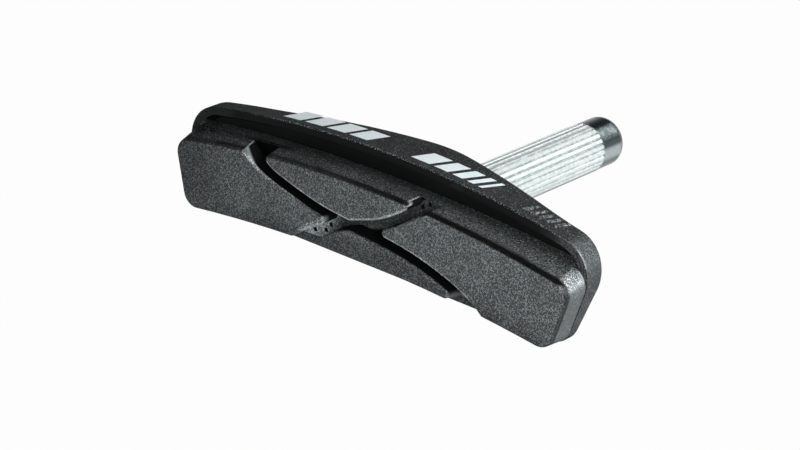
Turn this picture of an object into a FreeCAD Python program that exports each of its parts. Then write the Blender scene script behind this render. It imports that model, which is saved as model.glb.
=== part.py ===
"""Rim brake pad: an arched rubber block moulded round a steel strip that carries a fluted clamp post.

Frame: x runs along the pad, y along the post and away from the wheel's rim, z up.
The origin is on the post's axis, where its fluted shank begins close behind the pad.
"""
import FreeCAD
import Part

import math
import os
from dataclasses import dataclass, replace

from FreeCAD import Vector

# Millimetres and degrees. Outlines are drawn about the middle of the pad.
POST_OFFSET = 5.2           # the post stands this far to +x of the pad's middle
PAD_DEPTH = 10.44           # friction face to the back, at the post
FLANGE_SETBACK = 3.6        # friction face to the front of the flange

# Friction block
BLOCK_TOP = 4.21            # middle of the upper edge
BLOCK_TOP_RADIUS = 168.0
BLOCK_BOTTOM = -6.24        # middle of the lower edge
BLOCK_BOTTOM_RADIUS = 230.0
BLOCK_HALF_LENGTH = 32.95   # at the height of the post
BLOCK_LEAN = 15.5           # both ends lean outwards going up
BLOCK_TOP_CORNER = 2.2
BLOCK_BOTTOM_CORNER = 2.2
BLOCK_DRAFT = 0.3           # growth of the ends and the lower edge from the face back to the cove
BLOCK_TOP_RISE = 0.4        # rise of the upper edge over the same depth, in the middle
BLOCK_BACK_TOP_RADIUS = 273.0   # flatter than at the face, so the rise is larger at the ends
FACE_EDGE_RADIUS = 0.4

# Flange behind the block, and the cove in its front above the block
FLANGE_TOP = 8.31
FLANGE_TOP_RADIUS = 162.0
FLANGE_BOTTOM = -8.3
FLANGE_BOTTOM_RADIUS = 6000.0
FLANGE_HALF_LENGTH = 33.37
FLANGE_LEAN = 16.0
FLANGE_TOP_CORNER = 5.2
FLANGE_BOTTOM_CORNER = 2.6
LIP_HEIGHT = 1.1            # band of the flange that stays in front of the cove
COVE_DEPTH = 1.4            # how far the cove reaches behind the lip
COVE_SLOPE = 0.7            # how much the cove narrows over that depth

# Back of the pad, with the hump that the post leaves; thicknesses are at the height of the post
LEFT_END_THICKNESS = 2.7    # flange front to back, left of the hump
RIGHT_END_THICKNESS = 3.5
BACK_TILT = 10.6            # the back leans away from the block going up
HUMP_LEFT_RUN = 24.2        # from the post to the foot of the hump
HUMP_RIGHT_RUN = 20.8
HUMP_FOOT_RADIUS = 40.0
HUMP_CREST_RADIUS = 20.0
BACK_EDGE_RADIUS = 1.1

# Grooves: points along each curve as x, z and width; the long one falls to the right, the short one rises
GROOVE_DEPTH = 3.0
GROOVE_CORNER_RADIUS = 0.6  # block corners where the grooves cross or run out
LONG_GROOVE = (
    (-20.6, 6.0, 4.8),
    (-19.1, 3.3, 2.9),
    (-17.2, 1.65, 1.85),
    (-13.7, 0.3, 1.45),
    (-6.7, -1.4, 1.4),
    (-0.2, -2.05, 1.4),
    (6.3, -2.7, 1.4),
    (13.3, -4.4, 1.45),
    (16.5, -5.85, 1.85),
    (18.2, -7.4, 2.9),
    (19.5, -10.0, 4.8),
)
SHORT_GROOVE = (
    (-11.2, -8.2, 3.2),
    (-9.3, -6.1, 2.1),
    (-7.6, -4.75, 1.65),
    (-5.0, -3.0, 1.4),
    (-2.3, -1.95, 1.35),
    (0.2, -1.15, 1.35),
    (2.7, -0.25, 1.35),
    (5.1, 1.05, 1.35),
    (7.7, 2.9, 1.4),
    (9.3, 4.25, 1.8),
    (11.2, 6.35, 3.0),
)
PIT_RADIUS = 0.32           # small pits moulded in the short groove's floor
PIT_DEPTH = 0.5
PITS = ((-10.0, -5.8), (-8.15, -5.3), (-7.35, -4.3), (7.55, 3.1), (8.7, 3.75))

# Steel strip inside the rubber
STRIP_THICKNESS = 1.2
STRIP_SETBACK = 4.1         # friction face to the strip's front
STRIP_HALF_LENGTH = 17.4
STRIP_HEIGHT = 5.6
STRIP_COVER = 0.9           # the strip's upper edge lies this far below the block's
STRIP_CORNER = 2.0
KEY_HOLE_RADIUS = 1.5
KEY_HOLE_SPREADS = (9.6, 14.2)

# Post
SHANK_RADIUS = 3.5
SHANK_LENGTH = 29.5
NECK_RADIUS = 3.2           # just under the bottom of the flutes
NECK_LENGTH = 1.5           # from the back of the pad to the shank
TIP_RADIUS = 3.46
TIP_LENGTH = 5.3
TIP_ROUND = 1.6
FLUTE_COUNT = 26
FLUTE_DEPTH = 0.25
FLUTE_WIDTH = 0.44          # at the surface
RIVET_RADIUS = 1.8
RIVET_HEAD_RADIUS = 2.6
RIVET_HEAD_HEIGHT = 0.5

BACK_Y = -NECK_LENGTH       # the back of the pad, on the post's axis
FACE_Y = BACK_Y - PAD_DEPTH
FLANGE_Y = FACE_Y + FLANGE_SETBACK
COVE_Y = FLANGE_Y + COVE_DEPTH
STRIP_FRONT_Y = FACE_Y + STRIP_SETBACK
STRIP_BACK_Y = STRIP_FRONT_Y + STRIP_THICKNESS
TIP_Y = SHANK_LENGTH + TIP_LENGTH
BEYOND = 200.0              # farther than any part of the pad
SMALLEST_CORNER = 0.2


@dataclass(frozen=True)
class Outline:
    """An arched bar seen from the front: two long arcs, leaning ends and rounded corners."""
    top: float
    top_radius: float
    bottom: float
    bottom_radius: float
    half_length: float
    lean: float
    top_corner: float
    bottom_corner: float

    def shrunk(self, inset):
        return replace(
            self,
            top=self.top - inset,
            top_radius=self.top_radius - inset,
            bottom=self.bottom + inset,
            bottom_radius=self.bottom_radius + inset,
            half_length=self.half_length - inset / math.cos(math.radians(self.lean)),
            top_corner=max(self.top_corner - inset, SMALLEST_CORNER),
            bottom_corner=max(self.bottom_corner - inset, SMALLEST_CORNER),
        )

    def corner(self, edge, edge_radius, corner_radius, upper):
        """Start, middle and end of the arc between a long arc and the right end, from left to right."""
        lean = math.radians(self.lean)
        outward = Vector(math.cos(lean), 0, -math.sin(lean))
        upward = Vector(math.sin(lean), 0, math.cos(lean))
        arch = Vector(0, 0, edge - edge_radius)
        reach = edge_radius - corner_radius if upper else edge_radius + corner_radius
        foot = outward * (self.half_length * math.cos(lean) - corner_radius)
        along = (foot - arch).dot(upward)
        spare = (foot - arch).Length ** 2 - reach ** 2
        centre = foot + upward * (math.sqrt(along ** 2 - spare) - along)
        across = (centre - arch).normalize()
        start = across if upper else -across
        directions = (start, (start + outward).normalize(), outward)
        return [centre + direction * corner_radius for direction in directions]

    def wire(self, y):
        upper = self.corner(self.top, self.top_radius, self.top_corner, True)
        lower = self.corner(self.bottom, self.bottom_radius, self.bottom_corner, False)
        crown = [mirrored(upper[0]), Vector(0, 0, self.top), upper[0]]
        sole = [lower[0], Vector(0, 0, self.bottom), mirrored(lower[0])]
        edges = [
            arc(crown),
            arc(upper),
            Part.makeLine(upper[2], lower[2]),
            arc(lower),
            arc(sole),
            arc([mirrored(point) for point in lower]),
            Part.makeLine(mirrored(lower[2]), mirrored(upper[2])),
            arc([mirrored(point) for point in upper]),
        ]
        wire = Part.Wire(edges)
        wire.translate(Vector(-POST_OFFSET, y, 0))
        return wire


BLOCK = Outline(BLOCK_TOP, BLOCK_TOP_RADIUS, BLOCK_BOTTOM, BLOCK_BOTTOM_RADIUS,
                BLOCK_HALF_LENGTH, BLOCK_LEAN, BLOCK_TOP_CORNER, BLOCK_BOTTOM_CORNER)
FLANGE = Outline(FLANGE_TOP, FLANGE_TOP_RADIUS, FLANGE_BOTTOM, FLANGE_BOTTOM_RADIUS,
                 FLANGE_HALF_LENGTH, FLANGE_LEAN, FLANGE_TOP_CORNER, FLANGE_BOTTOM_CORNER)


def mirrored(point):
    return Vector(-point.x, point.y, point.z)


def arc(points):
    return Part.Arc(*points).toShape()


def spline(points):
    curve = Part.BSplineCurve()
    curve.interpolate(points)
    return curve.toShape()


def rounded_corner(before, corner, after, radius):
    """Start, middle and end of the arc that rounds the corner between two straight runs."""
    back = (before - corner).normalize()
    forth = (after - corner).normalize()
    half_angle = back.getAngle(forth) / 2
    run = radius / math.tan(half_angle)
    inward = (back + forth).normalize()
    middle = corner + inward * (radius / math.sin(half_angle) - radius)
    return [corner + back * run, middle, corner + forth * run]


def arched_bar(front, front_y, back, back_y):
    return Part.makeLoft([front.wire(front_y), back.wire(back_y)], True, True)


def along_y(radius, start, end):
    return Part.makeCylinder(radius, end - start, Vector(0, start, 0), Vector(0, 1, 0))


def lies_at(edge, y):
    """True for an edge that stays at this depth."""
    return abs(edge.BoundBox.YMin - y) < 1e-3 and abs(edge.BoundBox.YMax - y) < 1e-3


def runs_along_length(edge):
    """True for an edge that goes some way along the pad."""
    return edge.BoundBox.XLength > 1e-3


def in_front_of_back():
    """All that lies in front of the pad's back: two flat ends and a rounded hump, leaning together."""
    left_y = FLANGE_Y + LEFT_END_THICKNESS
    right_y = FLANGE_Y + RIGHT_END_THICKNESS
    steepness = ((BACK_Y - left_y) / HUMP_LEFT_RUN + (BACK_Y - right_y) / HUMP_RIGHT_RUN) / 2
    crest_y = BACK_Y + HUMP_CREST_RADIUS * (1 / math.cos(math.atan(steepness)) - 1)
    left_end = Vector(-BEYOND, left_y, 0)
    left_foot = Vector(-HUMP_LEFT_RUN, left_y, 0)
    crest = Vector(0, crest_y, 0)
    right_foot = Vector(HUMP_RIGHT_RUN, right_y, 0)
    right_end = Vector(BEYOND, right_y, 0)
    bends = [
        rounded_corner(left_end, left_foot, crest, HUMP_FOOT_RADIUS),
        rounded_corner(left_foot, crest, right_foot, HUMP_CREST_RADIUS),
        rounded_corner(crest, right_foot, right_end, HUMP_FOOT_RADIUS),
    ]
    edges = []
    last = left_end
    for bend in bends:
        edges.append(Part.makeLine(last, bend[0]))
        edges.append(arc(bend))
        last = bend[2]
    far_corners = [last, right_end, Vector(BEYOND, -BEYOND, 0), Vector(-BEYOND, -BEYOND, 0), left_end]
    edges.extend(Part.makePolygon(far_corners).Edges)
    leaning = Vector(0, BEYOND * math.tan(math.radians(BACK_TILT)), BEYOND)
    profile = Part.Face(Part.Wire(edges))
    profile.translate(-leaning)
    return profile.extrude(leaning * 2)


def groove_cutter(stations):
    """Band along a curve, wide at its mouths, from in front of the friction face to the groove's floor."""
    points = [Vector(x - POST_OFFSET, FACE_Y - 1, z) for x, z, _ in stations]
    path = Part.BSplineCurve()
    path.interpolate(points)
    upper_lip = []
    lower_lip = []
    for point, (_, _, width) in zip(points, stations):
        along = path.tangent(path.parameter(point))[0]
        across = Vector(-along.z, 0, along.x)
        upper_lip.append(point + across * (width / 2))
        lower_lip.append(point - across * (width / 2))
    edges = [
        spline(upper_lip),
        Part.makeLine(upper_lip[-1], lower_lip[-1]),
        spline(lower_lip[::-1]),
        Part.makeLine(lower_lip[0], upper_lip[0]),
    ]
    return Part.Face(Part.Wire(edges)).extrude(Vector(0, GROOVE_DEPTH + 1, 0))


def make_block():
    back = replace(
        BLOCK.shrunk(-BLOCK_DRAFT),
        top=BLOCK_TOP + BLOCK_TOP_RISE,
        top_radius=BLOCK_BACK_TOP_RADIUS,
    )
    block = arched_bar(BLOCK, FACE_Y, back, COVE_Y)
    block = block.cut([groove_cutter(LONG_GROOVE), groove_cutter(SHORT_GROOVE)])
    corners = [edge for edge in block.Edges if abs(edge.BoundBox.YLength - GROOVE_DEPTH) < 1e-3]
    block = block.makeFillet(GROOVE_CORNER_RADIUS, corners)
    block = block.makeFillet(FACE_EDGE_RADIUS, [edge for edge in block.Edges if lies_at(edge, FACE_Y)])
    floor_y = FACE_Y + GROOVE_DEPTH
    pits = []
    for x, z in PITS:
        pit = along_y(PIT_RADIUS, floor_y, floor_y + PIT_DEPTH)
        pit.translate(Vector(x - POST_OFFSET, 0, z))
        pits.append(pit)
    return block.cut(pits)


def make_flange():
    flange = arched_bar(FLANGE, FLANGE_Y, FLANGE, BEYOND).common(in_front_of_back())
    back_edges = [edge for edge in flange.Edges if runs_along_length(edge) and not lies_at(edge, FLANGE_Y)]
    flange = flange.makeFillet(BACK_EDGE_RADIUS, back_edges)
    hidden = BLOCK_BOTTOM / 2
    cove_front = replace(FLANGE.shrunk(LIP_HEIGHT), bottom=hidden)
    cove_back = replace(FLANGE.shrunk(LIP_HEIGHT + COVE_SLOPE), bottom=hidden)
    return flange.cut(arched_bar(cove_front, FLANGE_Y, cove_back, COVE_Y))


def make_pad(inserts):
    """The rubber moulding, with room inside it for the steel."""
    pad = make_flange().fuse(make_block())
    for insert in inserts:
        pad = pad.cut(insert)
    return pad


def make_strip():
    """Steel strip that follows the pad's arch, with a rivet hole and holes that the rubber keys into."""
    top = BLOCK_TOP - STRIP_COVER
    outline = Outline(top, BLOCK_TOP_RADIUS, top - STRIP_HEIGHT, BLOCK_TOP_RADIUS,
                      STRIP_HALF_LENGTH, BLOCK_LEAN, STRIP_CORNER, STRIP_CORNER)
    holes = [along_y(RIVET_RADIUS, STRIP_FRONT_Y, STRIP_BACK_Y)]
    for spread in KEY_HOLE_SPREADS:
        sag = BLOCK_TOP_RADIUS - math.sqrt(BLOCK_TOP_RADIUS ** 2 - spread ** 2)
        for side in (-1, 1):
            hole = along_y(KEY_HOLE_RADIUS, STRIP_FRONT_Y, STRIP_BACK_Y)
            hole.translate(Vector(side * spread - POST_OFFSET, 0, top - STRIP_HEIGHT / 2 - sag))
            holes.append(hole)
    return arched_bar(outline, STRIP_FRONT_Y, outline, STRIP_BACK_Y).cut(holes)


def make_post():
    """Turned post: rivet head, rivet, neck, fluted shank and smooth tip in one piece."""
    head_y = STRIP_FRONT_Y - RIVET_HEAD_HEIGHT
    chamfer = abs(SHANK_RADIUS - TIP_RADIUS)
    steps = [
        Vector(0, TIP_Y, 0),
        Vector(0, head_y, 0),
        Vector(RIVET_HEAD_RADIUS, head_y, 0),
        Vector(RIVET_HEAD_RADIUS, STRIP_FRONT_Y, 0),
        Vector(RIVET_RADIUS, STRIP_FRONT_Y, 0),
        Vector(RIVET_RADIUS, STRIP_BACK_Y, 0),
        Vector(NECK_RADIUS, STRIP_BACK_Y, 0),
        Vector(NECK_RADIUS, 0, 0),
        Vector(SHANK_RADIUS, 0, 0),
        Vector(SHANK_RADIUS, SHANK_LENGTH - chamfer, 0),
        Vector(TIP_RADIUS, SHANK_LENGTH, 0),
    ]
    end_round = rounded_corner(steps[-1], Vector(TIP_RADIUS, TIP_Y, 0), steps[0], TIP_ROUND)
    edges = Part.makePolygon(steps + end_round[:1]).Edges
    edges.append(arc(end_round))
    edges.append(Part.makeLine(end_round[2], steps[0]))
    turned = Part.Face(Part.Wire(edges)).revolve(Vector(0, 0, 0), Vector(0, 1, 0), 360)
    return turned.cut([flute_cutter(360 * index / FLUTE_COUNT) for index in range(FLUTE_COUNT)])


def flute_cutter(angle):
    """One straight V-shaped flute along the shank, drawn past the surface to twice its depth."""
    corners = [
        Vector(SHANK_RADIUS - FLUTE_DEPTH, 0, 0),
        Vector(SHANK_RADIUS + FLUTE_DEPTH, 0, FLUTE_WIDTH),
        Vector(SHANK_RADIUS + FLUTE_DEPTH, 0, -FLUTE_WIDTH),
    ]
    face = Part.Face(Part.makePolygon(corners + corners[:1]))
    cutter = face.extrude(Vector(0, SHANK_LENGTH, 0))
    cutter.rotate(Vector(0, 0, 0), Vector(0, 1, 0), angle)
    return cutter


def main():
    os.makedirs("parts", exist_ok=True)
    strip = make_strip()
    post = make_post()
    nodes = {
        "pad_body": make_pad([strip, post]),
        "backing_strip": strip,
        "post": post,
    }
    for name, shape in nodes.items():
        shape.exportStep(f"parts/{name}.step")


if __name__ == "__main__":
    main()
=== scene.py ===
"""Looks, studio and camera for a rim brake pad with a fluted steel post.

The part's frame is kept: x along the pad, y along the post away from the rim, z up, in metres.
"""
import math

import bmesh
import bpy
from mathutils import Matrix, Vector


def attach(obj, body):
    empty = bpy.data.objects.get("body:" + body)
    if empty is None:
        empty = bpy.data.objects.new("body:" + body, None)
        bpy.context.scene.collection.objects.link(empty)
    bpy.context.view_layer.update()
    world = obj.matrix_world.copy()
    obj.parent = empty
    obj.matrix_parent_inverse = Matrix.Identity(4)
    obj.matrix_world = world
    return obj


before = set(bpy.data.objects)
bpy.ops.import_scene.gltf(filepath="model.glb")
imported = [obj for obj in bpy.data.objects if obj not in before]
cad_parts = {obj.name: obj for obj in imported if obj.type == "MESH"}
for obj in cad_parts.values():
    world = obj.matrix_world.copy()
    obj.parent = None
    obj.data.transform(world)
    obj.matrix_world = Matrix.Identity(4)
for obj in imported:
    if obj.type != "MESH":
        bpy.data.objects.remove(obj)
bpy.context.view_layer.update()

MM = 0.001

# The pad's depths, the arch of its top and the post, as the CAD has them.
FACE_Y = -11.94 * MM
FACE_EDGE_RADIUS = 0.4 * MM
FLANGE_Y = -8.34 * MM
COVE_Y = -6.94 * MM
ARCH_MIDDLE_X = -5.2 * MM
ARCH_TOP_Z = 8.31 * MM
ARCH_RADIUS = 162 * MM
SHANK_END_Y = 29.5 * MM
SHANK_RADIUS = 3.5 * MM
FLUTE_DEPTH = 0.25 * MM
TIP_END_Y = 34.8 * MM

# Close stand-ins for the block's upper and lower edges.
BLOCK_TOP_Z = 4.5 * MM
BLOCK_TOP_RADIUS = 205 * MM
BLOCK_BOTTOM_Z = -6.3 * MM
BLOCK_BOTTOM_RADIUS = 230 * MM

# The short groove's middle line: its height, slope and bend.
SHORT_GROOVE_Z = -1.15 * MM
SHORT_GROOVE_SLOPE = 0.37
SHORT_GROOVE_BEND = 0.002 / MM ** 2

# A paler stripe along the edge beside the grooves' crossing: its slope, its height at the pad's middle and
# its width.
PALE_STRIPE_SLOPE = 0.703
PALE_STRIPE_Z = 2.0 * MM
PALE_STRIPE_WIDTH = 0.8 * MM

# The upper mouth of the long groove: its place and width across the pad, and how its pale wall leans.
MOUTH_X = -18.5 * MM
MOUTH_WIDTH = 6 * MM
MOUTH_LEAN = 0.5

# The grooves' distance from the pad's middle: none beyond the first value, all within the second.
GROOVED_HALF = (27 * MM, 25 * MM)

# Zones of the rubber. A pair says where a zone begins and where it is full. Lengths are in millimetres:
# across from the pad's middle, up from the block's lower edge, down from its upper edge, below the arched
# top, off the short groove's middle line, and back from the face, the flange or the cove.
# The measures that begin with "to" are shares of the surface's direction.
ZONES = {
    "forward": {"to_front": (0.75, 0.95)},
    "top": {"to_top": (0.5, 0.8)},
    "side_paler": {"across": (-25, 5)},
    "block_end": {"to_end": (0.35, 0.8)},
    "right_part": {"across": (18, 22)},
    "high_part": {"up": (4.5, 6)},
    "corner": {"to_right": (0.12, 0.4), "to_top": (0.2, 0.5)},
    "groove_height": {"down": (0.2, 0.6), "up": (0.2, 0.6)},
    "groove_wall": {"to_end": (0.35, 0.6)},
    "groove_depth": {"back": (0.3, 0.5)},
    "mouth_wall": {"to_right": (0.25, 0.45), "to_top": (0.05, 0.2)},
    "mouth_reach": {"leaning_back": (1.8, 1.2)},
    "mouth_height": {"down": (3.0, 2.0)},
    "mouth_shadow": {"down": (0.1, 0.6)},
    "pale_floor": {"across": (-5, -8)},
    "short_floor": {"off_axis": (1.6, 1.1)},
    "short_exit": {"off_axis": (3.4, 2.6)},
    "long_exit": {"up": (1.1, 0.5), "across": (8, 11)},
    "flange_end": {"to_end": (0.2, 0.75)},
    "flange_corner": {"to_end": (0.3, 0.6)},
    "flange_right": {"across": (27, 30)},
    "flange_left": {"across": (-24, -28)},
    "flange_upper": {"up": (4, 6)},
    "lip": {"behind_flange": (0.2, 0.1)},
    "cove": {"behind_flange": (0.05, 0.2), "behind_cove": (0.3, 0.1), "below_arch": (0.55, 0.88)},
    "cove_wall": {"to_end": (0.8, 0.6), "to_top": (0.5, 0.3)},
    "behind_block": {"behind_flange": (-0.1, 0.02)},
    "low_edge": {"up": (3.0, 0.2)},
    "low_tongue": {"up": (4.4, 1.6), "across": (-10, -8)},
    "tongue_end": {"across": (18, 13)},
    "left_edge": {"across": (-19, -33.2)},
    "rear": {"back": (1.2, 3.6)},
    "far_left": {"across": (-18, -28), "back": (1.0, 2.8)},
    "behind_mouth": {"back": (2.4, 3.0)},
    "left_end": {"across": (-27, -31)},
    "rim": {"back": (0.55, 0.3), "to_top": (-0.1, -0.4), "up": (1.0, 2.0)},
    "pale_stripe": {"across": (-11, -9), "back": (1.5, 0.5)},
    "pale_stripe_end": {"across": (-5, -6.5)},
    "top_ridge_shade": {"to_top": (0.15, 0.5), "down": (1.5, 0.8)},
    "ridge_shade_stronger": {"across": (-24, 12)},
    "end_ridge_shade": {"to_right": (0.3, 0.6), "across": (24, 26)},
    "calm_end": {"to_end": (0.7, 0.95)},
    "sparkle_end": {"to_end": (0.4, 0.7)},
    "more_sparkles": {"across": (0, 25)},
    "arch_edge": {"below_arch": (0.3, 0.15)},
    "worn_and_glinting": {"across": (-26, -14)},
    "glint": {"across": (24, 27)},
}

# How pale the rubber is in its zones. Beside the face's own grey, most levels are painted light and shade.
FACE_LEVEL = 0.076
# Painted light and shade: the block's top and sides are darker than the face and paler towards the right, as
# the lamps light them.
SIDE_LEFT_LEVEL = 0.0495
SIDE_RIGHT_LEVEL = 0.0627
# Painted light on the block's ends, and a painted highlight on its upper right corner.
END_LEVEL = 0.115
CORNER_LEVEL = 0.30
# Painted shade in the grooves: near-black walls and a dark floor.
GROOVE_WALL_LEVEL = 0.005
GROOVE_FLOOR_LEVEL = 0.036
# Painted light: the short groove's floor near its left exit, the wall at the long groove's upper mouth and
# the long groove's lower exit.
PALE_FLOOR_LEVEL = 0.198
MOUTH_LEVEL = 0.30
EXIT_LEVEL = 0.085
FLANGE_LEVEL = 0.03
# Painted light on the flange's ends, and a painted highlight on its upper right corner.
FLANGE_END_LEVEL = 0.06
FLANGE_CORNER_LEVEL = 0.085
# Painted shade: the flange's lip and the cove under it are near black.
LIP_LEVEL = 0.004
COVE_LEVEL = 0.003
# Painted shade along the face's lower and left edges.
EDGE_SHADE_LEVEL = 0.02
# Painted highlights on the grooves' rims.
RIM_LEVEL = 0.30
# A paler stripe along the edge beside the grooves' crossing.
PALE_STRIPE_LEVEL = 0.24
# Painted shade: a dark line along the rounding of the face's upper and right edges.
RIDGE_SHADE_LEVEL = 0.004
# Painted highlights: pale sparkles of the grain on the tops and ends, more towards the right.
SPARKLE_LEVEL = 0.20
# Bright chips along the flange's upper edge, partly wear and partly painted highlights, and a painted glint
# at its right corner.
GLINT_LEVEL = 0.35
RUBBER_TINT = (0.91, 1.0, 1.02, 1.0)

# How far some zones go towards their level, the gains of others outside and inside the zone, and the widths
# of lines. The glint lies where the surface's direction is near a middle value.
EDGE_SHADE_SHARE = 0.6
TONGUE_SHARE = 0.8
# Painted shade: these gains darken the block's top towards the flange, at the far left and behind the long
# groove's mouth, and the left end off the face.
REAR_GAIN = (1.1, 0.6)
FAR_LEFT_GAIN = (1.0, 0.6)
BEHIND_MOUTH_GAIN = (1.0, 0.25)
LEFT_END_GAIN = (1.0, 0.45)
PALE_STRIPE_SHARE = (0.2, 1.2)
TOP_RIDGE_SHADE_SHARE = (0.55, 1.0)
END_RIDGE_SHADE_SHARE = 0.8
RIDGE_SHADE_WIDTH = 0.75 * MM
WORN_GLINT_SHARE = 0.8
WORN_GLINT_WIDTH = 0.12 * MM
GLINT_WIDTH = 0.5 * MM
GLINT_TO_TOP = (0.62, 0.3)
GLINT_SHARE = (0.3, 1.0)

# The part of a soft line's width that is full.
LINE_CORE = 0.3

# Kinds of noise: detail and roughness.
PLAIN = (1.0, 0.5)
SOFT = (2.0, 0.5)
CLOUDY = (3.0, 0.55)
ROUGH = (2.0, 0.6)
RICH = (3.0, 0.6)

# The rubber's grain, clouds, painted sparkles and worn glints: sizes, and the range of the noise that shows.
FINE_SIZE = 0.15 * MM
COARSE_SIZE = 0.30 * MM
COARSE_SHARE = 0.3
GRAIN_RANGE = (0.44, 0.66)
GRAIN_DARK = (0.5, 0.35)
GRAIN_PALE = (1.95, 2.3)
CALM_SHARE = 0.5
CLOUD_SIZE = 6 * MM
CLOUD_RANGE = (0.3, 0.7)
CLOUD_GAIN = (0.88, 1.12)
SPARKLE_SIZE = 0.24 * MM
SPARKLE_RANGE = (0.61, 0.73)
SPARKLE_SHARE = (0.5, 0.75)
SPARKLE_RIGHT_SHARE = 0.9
WORN_GLINT_SIZE = 0.16 * MM
WORN_GLINT_RANGE = (0.52, 0.66)
GLINT_RANGE = (0.4, 0.6)
GRAIN_ROUGHNESS = (0.62, 0.82)
SMOOTH_ROUGHNESS = 0.5
RUBBER_SPECULAR = 0.05
RUBBER_BUMP = (0.9, 0.1)
RUBBER_BUMP_HEIGHT = 0.12 * MM

# Rubber of the moulded marks, pale in rubbed patches that are partly painted highlights.
RUB_SIZE = 0.35 * MM
RUB_RANGE = (0.42, 0.66)
RUB_DARK = (0.02, 0.02, 0.02, 1.0)
RUB_GLINT_PALE = (0.27, 0.30, 0.31, 1.0)
RUB_ROUGHNESS = (0.6, 0.4)
RUB_SPECULAR = 0.2
RUB_BUMP = 0.6
RUB_BUMP_HEIGHT = 0.1 * MM

# Zinc plate: colours, then noise sizes, and where its marks begin and are full.
ZINC_PALE = (0.88, 0.93, 0.93, 1.0)
ZINC_WORN = (0.76, 0.82, 0.81, 1.0)
ZINC_GREEN = (0.50, 0.56, 0.55, 1.0)
ZINC_LOW_DARK = (0.14, 0.16, 0.16, 1.0)
TIP_GREY = (0.34, 0.39, 0.39, 1.0)
TIP_PALE = (0.50, 0.56, 0.55, 1.0)
TIP_DARK = (0.03, 0.045, 0.055, 1.0)
DRAWN_SIZE = 0.25 * MM
DRAWN_STRETCH = (1, 0.10, 1)
MOTTLE_SIZE = 0.7 * MM
PIT_SIZE = 0.45 * MM
PIT_RANGE = (0.64, 0.74)
PIT_SHARE = 0.45
ZINC_RANGE = (0.35, 0.65)
# Painted shade: the flute bottoms go darker grey-green.
VALLEY_RADII = (SHANK_RADIUS - 0.1 * FLUTE_DEPTH, SHANK_RADIUS - 0.7 * FLUTE_DEPTH)
VALLEY_RANGE = (0.4, 0.6)
VALLEY_SHARE = (0.9, 0.35)
# Painted shade: the shank's underside goes darker grey-green.
UNDERSIDE_TURN = (0.1, -0.6)
UNDERSIDE_SHARE = (0.35, 0.95)
# A dark band along the shank's lower right side.
LOW_DARK_Z = (-0.50 * SHANK_RADIUS, -0.74 * SHANK_RADIUS)
LOW_DARK_X = (0, 1 * MM)
LOW_DARK_SHARE = 0.8
TIP_START_Y = (SHANK_END_Y - 0.3 * MM, SHANK_END_Y + 0.1 * MM)
# Painted reflections on the tip: dark on its crown, in a band, on its underside, at its rounded end and in
# mottled patches on its top.
TIP_ROUND_Y = (TIP_END_Y - 2.0 * MM, TIP_END_Y - 0.6 * MM)
TIP_CROWN_TURN = (0.8, 0.95)
TIP_BAND_TURN = (0.40, 0.28)
TIP_LOW_TURN = (-0.10, -0.45)
TIP_DARK_TOP_TURN = (0.45, 0.6)
TIP_DARK_TOP_RANGE = (0.42, 0.58)
TIP_DARK_TOP_SHARE = (1.0, 0.78)
TIP_DARK_SHARE = 0.88
SHANK_ROUGHNESS = (0.48, 0.68)
TIP_ROUGHNESS = (0.22, 0.34)
ZINC_BUMP_MIX = 0.5
ZINC_BUMP = (0.3, 0.08)
ZINC_BUMP_HEIGHT = 0.05 * MM

# Stamped steel of the hidden strip.
ROLLED_SIZE = 0.3 * MM
ROLLED_STRETCH = (0.05, 1, 1)
STEEL_DARK = (0.42, 0.43, 0.44, 1.0)
STEEL_PALE = (0.62, 0.63, 0.64, 1.0)
STEEL_ROUGHNESS = (0.3, 0.5)
STEEL_BUMP = 0.2

# White ink.
INK_SIZE = 0.2 * MM
INK_RANGE = (0.3, 0.7)
INK_GREY = (0.74, 0.82, 0.85, 1.0)
INK_WHITE = (0.83, 0.92, 0.94, 1.0)
INK_WORN_SIZE = 0.7 * MM
INK_WORN_RANGE = (0.66, 0.74)
INK_WORN_SHARE = 0.5
INK_WORN = (0.25, 0.26, 0.27, 1.0)
INK_ROUGHNESS = (0.45, 0.65)
INK_BUMP = 0.3
THIN_BUMP_HEIGHT = 0.03 * MM

# Print and moulded marks on the arched top. The bars' left and right ends are in millimetres.
PRINT_FRONT_Y = -7.1 * MM
PRINT_BACK_Y = -3.9 * MM
PRINT_SLANT = 1.3 * MM
PRINT_RISE = 0.01 * MM
PRINT_SINK = 0.05 * MM
PRINT_BARS = [(-23.4, -20.4), (-19.6, -16.6), (-15.8, -12.8), (-12.0, -9.0), (-1.6, 1.4), (2.2, 4.4),
              (5.2, 6.8), (7.6, 8.6), (9.4, 10.0)]
TICK_FRONT_Y = -7.2 * MM
TICK_BACK_Y = -5.0 * MM
TICK_SLANT = 0.8 * MM
TICK_RISE = 0.2 * MM
TICK_BARS = [(16.6, 17.0), (17.8, 18.2), (19.0, 19.4), (20.2, 20.6), (21.4, 21.8)]
BAR_STEPS = 8

# Camera, from a fit to the photo's edges.
AZIMUTH = math.radians(37.9717)
ELEVATION = math.radians(23.49)
ROLL = math.radians(4.0306)
CAMERA_DISTANCE = 383.074 * MM
CAMERA_AIM = Vector((-5.625, -3.241, -3.762)) * MM
CAMERA_NEAR = 10 * MM
CAMERA_LENS_MM = 131.46
SENSOR_WIDTH_MM = 36

# The floor. To the camera and in reflections it is mostly plain white.
FLOOR_Z = -300 * MM
FLOOR_HALF_WIDTH = 4.0
FLOOR_CELLS = 8
FLOOR_GRAIN_SIZE = 40 * MM
FLOOR_DARK = (0.80, 0.80, 0.80, 1.0)
FLOOR_PALE = (0.84, 0.84, 0.84, 1.0)
FLOOR_WHITE_SHARE = 0.98

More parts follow.
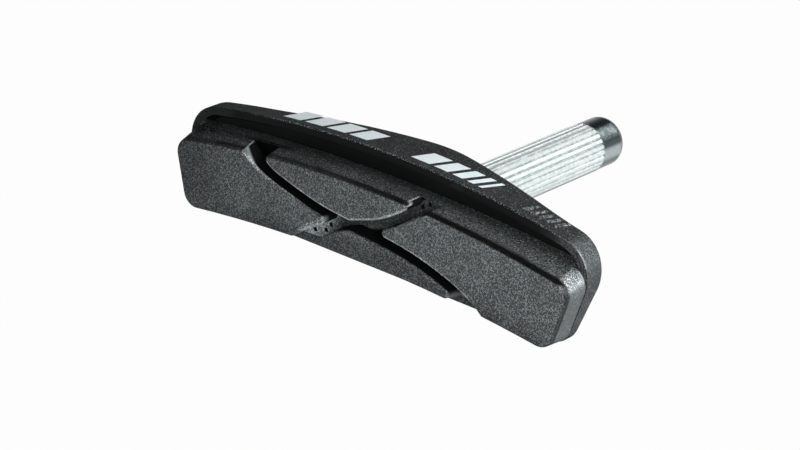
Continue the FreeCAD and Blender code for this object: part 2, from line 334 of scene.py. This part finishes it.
# The studio's pale walls end and its dark ceiling begins at these sines of the elevation.
WALL_SINE = 0.10
CEILING_SINE = 0.46
WALL_STRENGTH = 1.0
CEILING_STRENGTH = 0.05

# Lamps: name, place, aim and width in metres, power in watts.
LAMPS = [
    ("right_lamp", (0.16, -0.02, 0.13), (0.02, -0.005, 0), 0.11, 0.32),
    ("front_lamp", (0.11, -0.12, 0.04), (0.01, -0.01, 0), 0.10, 0.22),
    ("fill_lamp", (0.02, -0.45, -0.12), (0, -0.01, 0), 0.35, 0.68),
    ("back_lamp", (0.14, 0.36, 0.29), (0, 0.015, 0), 0.28, 0.6),
]

BLACK = (0.0, 0.0, 0.0, 1.0)
WHITE = (1.0, 1.0, 1.0, 1.0)


class Look:
    """A material's node tree, with short ways to add and join nodes."""

    def __init__(self, name):
        self.material = bpy.data.materials.new(name)
        self.material.use_nodes = True
        self.nodes = self.material.node_tree.nodes
        self.links = self.material.node_tree.links
        self.shader = self.nodes["Principled BSDF"]
        self.place = self.add("ShaderNodeTexCoord").outputs["Object"]
        self.x, self.y, self.z = self.split(self.place)

    def add(self, kind, settings=None, **inputs):
        node = self.nodes.new(kind)
        for name, value in (settings or {}).items():
            setattr(node, name, value)
        for name, value in inputs.items():
            self.feed(node.inputs[name.replace("_", " ")], value)
        return node

    def feed(self, socket, value):
        if isinstance(value, bpy.types.NodeSocket):
            self.links.new(value, socket)
        else:
            socket.default_value = value

    def finish(self, name, value):
        self.feed(self.shader.inputs[name], value)

    def split(self, vector):
        return self.add("ShaderNodeSeparateXYZ", Vector=vector).outputs

    def facing(self):
        """Which way the surface faces, along x, y and z."""
        return self.split(self.add("ShaderNodeNewGeometry").outputs["Normal"])

    def sum(self, operation, first, second=0.0):
        node = self.add("ShaderNodeMath", {"operation": operation})
        self.feed(node.inputs[0], first)
        self.feed(node.inputs[1], second)
        return node.outputs[0]

    def both(self, first, *others):
        for other in others:
            first = self.sum("MULTIPLY", first, other)
        return first

    def most(self, first, *others):
        for other in others:
            first = self.sum("MAXIMUM", first, other)
        return first

    def outside(self, share):
        return self.sum("SUBTRACT", 1.0, share)

    def rise(self, value, low, high):
        """0 at low, 1 at high and smooth between."""
        node = self.add("ShaderNodeMapRange", {"interpolation_type": "SMOOTHSTEP"}, Value=value)
        node.inputs["From Min"].default_value = low
        node.inputs["From Max"].default_value = high
        return node.outputs["Result"]

    def line(self, value, middle, width):
        """1 at the middle, 0 further off than the width."""
        gap = self.sum("ABSOLUTE", self.sum("SUBTRACT", value, middle))
        return self.outside(self.rise(gap, LINE_CORE * width, width))

    def noise(self, size, detail, roughness, stretch=None):
        """Grain whose lumps are about this size, in metres, longer along an axis where stretch is under 1."""
        where = self.place
        if stretch:
            node = self.add("ShaderNodeMapping", Vector=self.place)
            node.inputs["Scale"].default_value = stretch
            where = node.outputs[0]
        node = self.add("ShaderNodeTexNoise", Vector=where, Scale=1 / size, Detail=detail,
                        Roughness=roughness)
        return node.outputs["Fac"]

    def blend(self, share, first, second):
        """The first colour where the share is 0, the second where it is 1."""
        node = self.add("ShaderNodeMix", {"data_type": "RGBA"})
        self.feed(node.inputs[0], share)
        self.feed(node.inputs[6], first)
        self.feed(node.inputs[7], second)
        return node.outputs[2]

    def fade(self, share, first, second):
        """The first number where the share is 0, the second where it is 1."""
        node = self.add("ShaderNodeMix")
        self.feed(node.inputs[0], share)
        self.feed(node.inputs[2], first)
        self.feed(node.inputs[3], second)
        return node.outputs[0]

    def bump(self, height, strength, distance):
        node = self.add("ShaderNodeBump", Height=height, Strength=strength, Distance=distance)
        self.finish("Normal", node.outputs[0])


class PadLook(Look):
    """A look that knows where each spot of the pad lies, for the zones of its rubber."""

    def __init__(self, name):
        super().__init__(name)
        to_right, to_back, self.to_top = self.facing()
        self.across = self.sum("SUBTRACT", self.x, ARCH_MIDDLE_X)
        self.across_squared = self.both(self.across, self.across)
        down = self.below(BLOCK_TOP_Z, BLOCK_TOP_RADIUS)
        up = self.both(self.below(BLOCK_BOTTOM_Z, BLOCK_BOTTOM_RADIUS), -1.0)
        self.measures = {
            "across": (self.across, 0, MM),
            "up": (up, 0, MM),
            "down": (down, 0, MM),
            "below_arch": (self.below(ARCH_TOP_Z, ARCH_RADIUS), 0, MM),
            "off_axis": (self.off_axis(), 0, MM),
            "back": (self.y, FACE_Y, MM),
            "leaning_back": (self.sum("ADD", self.y, self.both(down, MOUTH_LEAN)), FACE_Y, MM),
            "behind_flange": (self.y, FLANGE_Y, MM),
            "behind_cove": (self.y, COVE_Y, MM),
            "to_right": (to_right, 0, 1),
            "to_end": (self.sum("ABSOLUTE", to_right), 0, 1),
            "to_top": (self.to_top, 0, 1),
            "to_front": (self.both(to_back, -1.0), 0, 1),
        }

    def below(self, top, radius):
        """How far below a flat arch."""
        arch = self.sum("SUBTRACT", top, self.both(self.across_squared, 0.5 / radius))
        return self.sum("SUBTRACT", arch, self.z)

    def off_axis(self):
        """How far above or below the short groove's middle line."""
        bend = self.both(self.across_squared, self.across, SHORT_GROOVE_BEND)
        slope = self.both(self.across, SHORT_GROOVE_SLOPE)
        axis = self.sum("ADD", self.sum("ADD", slope, bend), SHORT_GROOVE_Z)
        return self.sum("ABSOLUTE", self.sum("SUBTRACT", self.z, axis))

    def zone(self, name):
        """1 inside the zone, 0 outside it."""
        ramps = []
        for measure, (begin, full) in ZONES[name].items():
            value, start, unit = self.measures[measure]
            ramps.append(self.rise(value, start + begin * unit, start + full * unit))
        return self.both(*ramps)


def groove_level(look, forward):
    """How pale the grooves are: painted shade on their walls and floors, and painted light on the wall at the
    long groove's upper mouth, on the short groove's floor near its left exit and at the long groove's lower
    exit.
    """
    mouth = look.both(look.zone("mouth_wall"), look.zone("mouth_reach"), look.zone("mouth_height"),
                      look.zone("mouth_shadow"))
    floor = look.fade(look.zone("pale_floor"), look.both(look.zone("short_floor"), GROOVE_FLOOR_LEVEL),
                      look.both(look.zone("short_exit"), PALE_FLOOR_LEVEL))
    recess = look.fade(forward, look.fade(mouth, GROOVE_WALL_LEVEL, MOUTH_LEVEL), floor)
    return look.fade(look.zone("long_exit"), recess, EXIT_LEVEL)


def block_level(look, forward, corner, groove):
    """How pale the friction block is, its grooves too, with painted light on its ends and upper right corner
    and painted shade in its grooves.
    """
    side = look.fade(look.zone("side_paler"), SIDE_LEFT_LEVEL, SIDE_RIGHT_LEVEL)
    level = look.fade(forward, side, FACE_LEVEL)
    level = look.fade(look.zone("block_end"), level, END_LEVEL)
    level = look.fade(corner, level, CORNER_LEVEL)
    return look.fade(groove, level, groove_level(look, forward))


def flange_level(look, corner, lip, cove):
    """How pale the flange and the back are, with painted light on the flange's ends and upper right corner
    and painted shade on its lip and in the cove.
    """
    level = look.fade(look.zone("flange_end"), FLANGE_LEVEL, FLANGE_END_LEVEL)
    level = look.fade(look.both(corner, look.zone("flange_corner")), level, FLANGE_CORNER_LEVEL)
    level = look.fade(lip, level, LIP_LEVEL)
    return look.fade(cove, level, COVE_LEVEL)


def shaded(look, level, forward, groove, on_block, on_top):
    """The level with painted shade along the face's lower and left edges, on the block's top towards the
    flange, at the far left and behind the long groove's mouth, and on the left end.
    """
    tongue = look.both(look.zone("low_tongue"), look.zone("tongue_end"), TONGUE_SHARE)
    edge_shade = look.both(on_block, forward, look.outside(groove),
                     look.most(look.zone("low_edge"), tongue, look.zone("left_edge")), EDGE_SHADE_SHARE)
    level = look.fade(edge_shade, level, EDGE_SHADE_LEVEL)
    level = look.both(level, look.fade(look.both(on_top, look.zone("rear")), *REAR_GAIN))
    level = look.both(level, look.fade(look.both(on_top, look.zone("far_left")), *FAR_LEFT_GAIN))
    behind_mouth = look.both(on_top, look.zone("behind_mouth"), look.line(look.across, MOUTH_X, MOUTH_WIDTH))
    level = look.both(level, look.fade(behind_mouth, *BEHIND_MOUTH_GAIN))
    left_end = look.both(look.zone("left_end"), look.outside(forward))
    return look.both(level, look.fade(left_end, *LEFT_END_GAIN))


def worn(look, level, coarse):
    """The level, with painted highlights on the grooves' rims and a paler stripe along the edge at the
    crossing.
    """
    level = look.fade(look.zone("rim"), level, RIM_LEVEL)
    pale_stripe = look.line(look.sum("SUBTRACT", look.z, look.both(look.across, PALE_STRIPE_SLOPE)), PALE_STRIPE_Z, PALE_STRIPE_WIDTH)
    pale_stripe = look.both(pale_stripe, look.zone("pale_stripe"), look.zone("pale_stripe_end"), look.fade(coarse, *PALE_STRIPE_SHARE))
    return look.fade(pale_stripe, level, PALE_STRIPE_LEVEL)


def ridge_shade_share(look):
    """Painted shade: the dark line along the rounding behind the face's upper and right edges."""
    top = look.both(look.zone("top_ridge_shade"), look.fade(look.zone("ridge_shade_stronger"), *TOP_RIDGE_SHADE_SHARE))
    end = look.both(look.zone("end_ridge_shade"), END_RIDGE_SHADE_SHARE)
    return look.both(look.line(look.y, FACE_Y + FACE_EDGE_RADIUS, RIDGE_SHADE_WIDTH), look.most(top, end))


def grained(look, level, grain, smooth, on_top):
    """The level with the grain's contrast and soft clouds."""
    contrast = look.fade(grain, look.fade(on_top, *GRAIN_DARK), look.fade(on_top, *GRAIN_PALE))
    contrast = look.fade(smooth, contrast, 1.0)
    contrast = look.fade(look.both(look.zone("calm_end"), CALM_SHARE), contrast, 1.0)
    cloud = look.rise(look.noise(CLOUD_SIZE, *CLOUDY), *CLOUD_RANGE)
    return look.both(level, contrast, look.fade(cloud, *CLOUD_GAIN))


def sparkled(look, level, ridge_shade, smooth, on_top):
    """The level with painted highlights: pale sparkles of the grain on the lit tops and ends."""
    sparkles = look.rise(look.noise(SPARKLE_SIZE, *PLAIN), *SPARKLE_RANGE)
    share = look.fade(look.zone("more_sparkles"), look.fade(on_top, *SPARKLE_SHARE), SPARKLE_RIGHT_SHARE)
    lit = look.most(look.zone("top"), look.zone("sparkle_end"))
    lit = look.both(lit, look.outside(ridge_shade), look.outside(smooth), share)
    return look.fade(look.both(sparkles, lit), level, SPARKLE_LEVEL)


def worn_and_glinting(look, level, coarse):
    """The level with bright chips along the flange's upper edge, partly wear and partly painted highlights,
    and a painted glint at its right corner.
    """
    worn_glints = look.rise(look.noise(WORN_GLINT_SIZE, *ROUGH), *WORN_GLINT_RANGE)
    worn_glints = look.both(worn_glints, look.line(look.y, FLANGE_Y, WORN_GLINT_WIDTH), look.zone("arch_edge"),
                      look.zone("worn_and_glinting"), WORN_GLINT_SHARE)
    glint = look.both(look.line(look.y, FLANGE_Y, GLINT_WIDTH), look.zone("glint"),
                      look.line(look.to_top, *GLINT_TO_TOP),
                      look.fade(look.rise(coarse, *GLINT_RANGE), *GLINT_SHARE))
    return look.fade(look.most(worn_glints, glint), level, GLINT_LEVEL)


def make_rubber():
    """Matt moulded rubber: a grey grained block and a blacker flange, with smooth recesses in painted shade,
    painted light on ends and corners, painted highlights on rims and tops, and edge wear partly painted as
    glints.
    """
    look = PadLook("moulded_rubber")
    coarse = look.noise(COARSE_SIZE, *PLAIN)
    lumps = look.fade(COARSE_SHARE, look.noise(FINE_SIZE, *PLAIN), coarse)
    grain = look.rise(lumps, *GRAIN_RANGE)

    forward = look.zone("forward")
    corner = look.both(look.most(look.zone("right_part"), look.zone("high_part")), look.zone("corner"))
    grooved = look.rise(look.across_squared, GROOVED_HALF[0] ** 2, GROOVED_HALF[1] ** 2)
    groove = look.both(grooved, look.most(look.zone("groove_height"), forward, look.zone("groove_wall")),
                       look.zone("groove_depth"))
    upper = look.zone("flange_upper")
    lip = look.both(forward, look.most(upper, look.zone("flange_left")),
                    look.outside(look.zone("flange_right")), look.zone("lip"))
    cove = look.both(upper, look.zone("cove"), look.zone("cove_wall"))
    behind_block = look.zone("behind_block")
    on_block = look.outside(behind_block)
    on_top = look.both(on_block, look.zone("top"))
    smooth = look.fade(behind_block, look.both(groove, look.outside(forward)), look.most(lip, cove))
    ridge_shade = ridge_shade_share(look)

    # Each zone's level, much of it painted light and shade.
    level = look.fade(behind_block, block_level(look, forward, corner, groove),
                      flange_level(look, corner, lip, cove))
    # Painted shade on the face's edges, the block's rear top and the left end.
    level = shaded(look, level, forward, groove, on_block, on_top)
    # Painted highlights on the grooves' rims, and a paler stripe beside the crossing.
    level = worn(look, level, coarse)
    # Painted shade on the rounding of the face's upper and right edges.
    level = look.fade(ridge_shade, level, RIDGE_SHADE_LEVEL)
    level = grained(look, level, grain, smooth, on_top)
    # Painted sparkles of the grain.
    level = sparkled(look, level, ridge_shade, smooth, on_top)
    # Worn chips that are partly painted highlights, and a painted glint.
    level = worn_and_glinting(look, level, coarse)

    look.finish("Base Color", look.blend(level, BLACK, RUBBER_TINT))
    look.finish("Roughness", look.fade(smooth, look.fade(grain, *GRAIN_ROUGHNESS), SMOOTH_ROUGHNESS))
    look.finish("Specular IOR Level", RUBBER_SPECULAR)
    look.bump(lumps, look.fade(smooth, *RUBBER_BUMP), RUBBER_BUMP_HEIGHT)
    return look.material


def make_mark_rubber():
    """Rubber of the moulded marks: polished and pale in rubbed patches, which are partly wear and partly
    painted highlights.
    """
    look = Look("rubbed_glinting_rubber")
    rub = look.rise(look.noise(RUB_SIZE, *ROUGH), *RUB_RANGE)
    look.finish("Base Color", look.blend(rub, RUB_DARK, RUB_GLINT_PALE))
    look.finish("Roughness", look.fade(rub, *RUB_ROUGHNESS))
    look.finish("Specular IOR Level", RUB_SPECULAR)
    look.bump(rub, RUB_BUMP, RUB_BUMP_HEIGHT)
    return look.material


def make_zinc():
    """Bright zinc plate: grey-green flute bottoms and underside darkened as painted shade, soft mottling,
    small pits, a dark band along the lower right side, and a smoother tip with painted dark reflections.
    """
    look = Look("zinc_plate")
    to_top = look.facing()[2]
    drawn = look.noise(DRAWN_SIZE, *RICH, DRAWN_STRETCH)
    mottle = look.noise(MOTTLE_SIZE, *RICH)
    tip = look.rise(look.y, *TIP_START_Y)

    radius = look.sum("SQRT", look.sum("ADD", look.both(look.x, look.x), look.both(look.z, look.z)))
    flute = look.both(look.rise(radius, *VALLEY_RADII), look.outside(tip))
    pits = look.rise(look.noise(PIT_SIZE, *ROUGH), *PIT_RANGE)
    low_dark_band = look.both(look.rise(look.z, *LOW_DARK_Z), look.rise(look.x, *LOW_DARK_X))
    shank = look.blend(look.rise(mottle, *ZINC_RANGE), ZINC_WORN, ZINC_PALE)
    # Painted shade in the flute bottoms.
    dark = look.fade(look.rise(mottle, *VALLEY_RANGE), *VALLEY_SHARE)
    shank = look.blend(look.both(flute, dark), shank, ZINC_GREEN)
    shank = look.blend(look.both(pits, PIT_SHARE), shank, ZINC_GREEN)
    # Painted shade on the underside.
    dark = look.fade(drawn, *UNDERSIDE_SHARE)
    shank = look.blend(look.both(look.rise(to_top, *UNDERSIDE_TURN), dark), shank, ZINC_GREEN)
    # A dark band along the shank's lower right side.
    shank = look.blend(look.both(low_dark_band, LOW_DARK_SHARE), shank, ZINC_LOW_DARK)

    # Painted dark reflections on the tip.
    dark_top_patches = look.fade(look.rise(mottle, *TIP_DARK_TOP_RANGE), *TIP_DARK_TOP_SHARE)
    tip_reflections = look.most(look.line(to_top, *TIP_BAND_TURN), look.rise(to_top, *TIP_LOW_TURN),
                       look.rise(look.y, *TIP_ROUND_Y), look.rise(to_top, *TIP_CROWN_TURN),
                       look.both(look.rise(to_top, *TIP_DARK_TOP_TURN), dark_top_patches))
    bare = look.blend(look.both(tip_reflections, TIP_DARK_SHARE), look.blend(mottle, TIP_GREY, TIP_PALE), TIP_DARK)

    look.finish("Base Color", look.blend(tip, shank, bare))
    look.finish("Metallic", 1.0)
    look.finish("Roughness",
                look.fade(tip, look.fade(mottle, *SHANK_ROUGHNESS), look.fade(mottle, *TIP_ROUGHNESS)))
    look.bump(look.fade(ZINC_BUMP_MIX, drawn, mottle), look.fade(tip, *ZINC_BUMP), ZINC_BUMP_HEIGHT)
    return look.material


def make_strip_steel():
    """Plain stamped steel with a rolling grain along its length."""
    look = Look("stamped_steel")
    rolled = look.noise(ROLLED_SIZE, *RICH, ROLLED_STRETCH)
    look.finish("Base Color", look.blend(rolled, STEEL_DARK, STEEL_PALE))
    look.finish("Metallic", 1.0)
    look.finish("Roughness", look.fade(rolled, *STEEL_ROUGHNESS))
    look.bump(rolled, STEEL_BUMP, THIN_BUMP_HEIGHT)
    return look.material


def make_ink():
    """White printing ink with a faint grain, thinner in small worn places."""
    look = Look("white_ink")
    grain = look.noise(INK_SIZE, *ROUGH)
    thin = look.rise(look.noise(INK_WORN_SIZE, *RICH), *INK_WORN_RANGE)
    colour = look.blend(look.rise(grain, *INK_RANGE), INK_GREY, INK_WHITE)
    look.finish("Base Color", look.blend(look.both(thin, INK_WORN_SHARE), colour, INK_WORN))
    look.finish("Roughness", look.fade(grain, *INK_ROUGHNESS))
    look.bump(grain, INK_BUMP, THIN_BUMP_HEIGHT)
    return look.material


def arch_z(x):
    return ARCH_TOP_Z - ARCH_RADIUS + math.sqrt(ARCH_RADIUS ** 2 - (x - ARCH_MIDDLE_X) ** 2)


def add_bar(mesh, left, right, front, back, slant, rise, sink):
    """A thin slanted bar that follows the arched top, closed all round."""
    rings = []
    for i in range(BAR_STEPS + 1):
        ring = []
        for y, lean, lift in ((front, 0, -sink), (front, 0, rise), (back, slant, rise), (back, slant, -sink)):
            x = left + (right - left) * i / BAR_STEPS + lean
            ring.append(mesh.verts.new((x, y, arch_z(x) + lift)))
        rings.append(ring)
    for here, there in zip(rings, rings[1:]):
        for k in range(4):
            mesh.faces.new((here[k], here[(k + 1) % 4], there[(k + 1) % 4], there[k]))
    mesh.faces.new(rings[0][::-1])
    mesh.faces.new(rings[-1])


def make_piece(name, mesh, material):
    data = bpy.data.meshes.new(name)
    mesh.to_mesh(data)
    mesh.free()
    data.materials.append(material)
    piece = bpy.data.objects.new(name, data)
    bpy.context.scene.collection.objects.link(piece)
    return piece


def make_bars(name, bars, front, back, slant, rise, sink, material):
    mesh = bmesh.new()
    for left, right in bars:
        add_bar(mesh, left * MM, right * MM, front, back, slant, rise, sink)
    bmesh.ops.recalc_face_normals(mesh, faces=mesh.faces)
    return make_piece(name, mesh, material)


def dress(node, material):
    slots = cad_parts[node].data.materials
    slots.clear()
    slots.append(material)


def make_floor():
    """A pale floor that faces up and is clear from below."""
    mesh = bmesh.new()
    bmesh.ops.create_grid(mesh, x_segments=FLOOR_CELLS, y_segments=FLOOR_CELLS, size=FLOOR_HALF_WIDTH)
    bmesh.ops.translate(mesh, vec=(0, 0, FLOOR_Z), verts=mesh.verts)
    look = Look("pale_floor")
    grain = look.noise(FLOOR_GRAIN_SIZE, *SOFT)
    paint = look.add("ShaderNodeBsdfDiffuse", Color=look.blend(grain, FLOOR_DARK, FLOOR_PALE))
    white = look.add("ShaderNodeEmission", Color=WHITE, Strength=1.0)
    path = look.add("ShaderNodeLightPath").outputs
    seen = look.most(path["Is Camera Ray"], path["Is Glossy Ray"], path["Is Transmission Ray"])
    mixed = look.add("ShaderNodeMixShader")
    look.feed(mixed.inputs[0], look.both(seen, FLOOR_WHITE_SHARE))
    look.feed(mixed.inputs[1], paint.outputs[0])
    look.feed(mixed.inputs[2], white.outputs[0])
    sided = look.add("ShaderNodeMixShader")
    look.feed(sided.inputs[0], look.add("ShaderNodeNewGeometry").outputs["Backfacing"])
    look.feed(sided.inputs[1], mixed.outputs[0])
    look.feed(sided.inputs[2], look.add("ShaderNodeBsdfTransparent").outputs[0])
    look.feed(look.nodes["Material Output"].inputs["Surface"], sided.outputs[0])
    look.nodes.remove(look.shader)
    make_piece("floor", mesh, look.material)


def make_world():
    """White round the horizon, falling to a dark ceiling."""
    world = bpy.data.worlds.new("studio")
    world.use_nodes = True
    bpy.context.scene.world = world
    nodes, links = world.node_tree.nodes, world.node_tree.links
    background = nodes["Background"]
    way = nodes.new("ShaderNodeSeparateXYZ")
    links.new(nodes.new("ShaderNodeTexCoord").outputs["Generated"], way.inputs[0])
    fall = nodes.new("ShaderNodeMapRange")
    fall.interpolation_type = "SMOOTHSTEP"
    fall.inputs["From Min"].default_value = WALL_SINE
    fall.inputs["From Max"].default_value = CEILING_SINE
    fall.inputs["To Min"].default_value = WALL_STRENGTH
    fall.inputs["To Max"].default_value = CEILING_STRENGTH
    links.new(way.outputs[2], fall.inputs["Value"])
    links.new(fall.outputs["Result"], background.inputs["Strength"])
    background.inputs["Color"].default_value = WHITE


def make_lamp(name, place, aim, size, power):
    lamp = bpy.data.lights.new(name, "AREA")
    lamp.shape = "DISK"
    lamp.size = size
    lamp.energy = power
    holder = bpy.data.objects.new(name, lamp)
    place, aim = Vector(place), Vector(aim)
    turn = (place - aim).to_track_quat("Z", "Y").to_matrix().to_4x4()
    holder.matrix_world = Matrix.Translation(place) @ turn
    bpy.context.scene.collection.objects.link(holder)


def make_camera():
    back = Vector((math.sin(AZIMUTH) * math.cos(ELEVATION), -math.cos(AZIMUTH) * math.cos(ELEVATION),
                   math.sin(ELEVATION)))
    right = Vector((math.cos(AZIMUTH), math.sin(AZIMUTH), 0))
    up = back.cross(right)
    across = math.cos(ROLL) * right + math.sin(ROLL) * up
    upward = math.cos(ROLL) * up - math.sin(ROLL) * right
    data = bpy.data.cameras.new("camera")
    data.lens = CAMERA_LENS_MM
    data.sensor_width = SENSOR_WIDTH_MM
    data.clip_start = CAMERA_NEAR
    camera = bpy.data.objects.new("camera", data)
    turn = Matrix((across, upward, back)).transposed().to_4x4()
    camera.matrix_world = Matrix.Translation(CAMERA_AIM + back * CAMERA_DISTANCE) @ turn
    bpy.context.scene.collection.objects.link(camera)
    bpy.context.scene.camera = camera


bpy.context.scene.view_settings.view_transform = "Standard"
make_camera()
make_world()
make_floor()
for lamp in LAMPS:
    make_lamp(*lamp)

dress("pad_body", make_rubber())
dress("post", make_zinc())
dress("backing_strip", make_strip_steel())

print_bars = make_bars("print_bars", PRINT_BARS, PRINT_FRONT_Y, PRINT_BACK_Y, PRINT_SLANT, PRINT_RISE,
                       PRINT_SINK, make_ink())
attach(print_bars, "root")
moulded_ticks = make_bars("moulded_ticks", TICK_BARS, TICK_FRONT_Y, TICK_BACK_Y, TICK_SLANT, TICK_RISE,
                          PRINT_SINK, make_mark_rubber())
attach(moulded_ticks, "root")
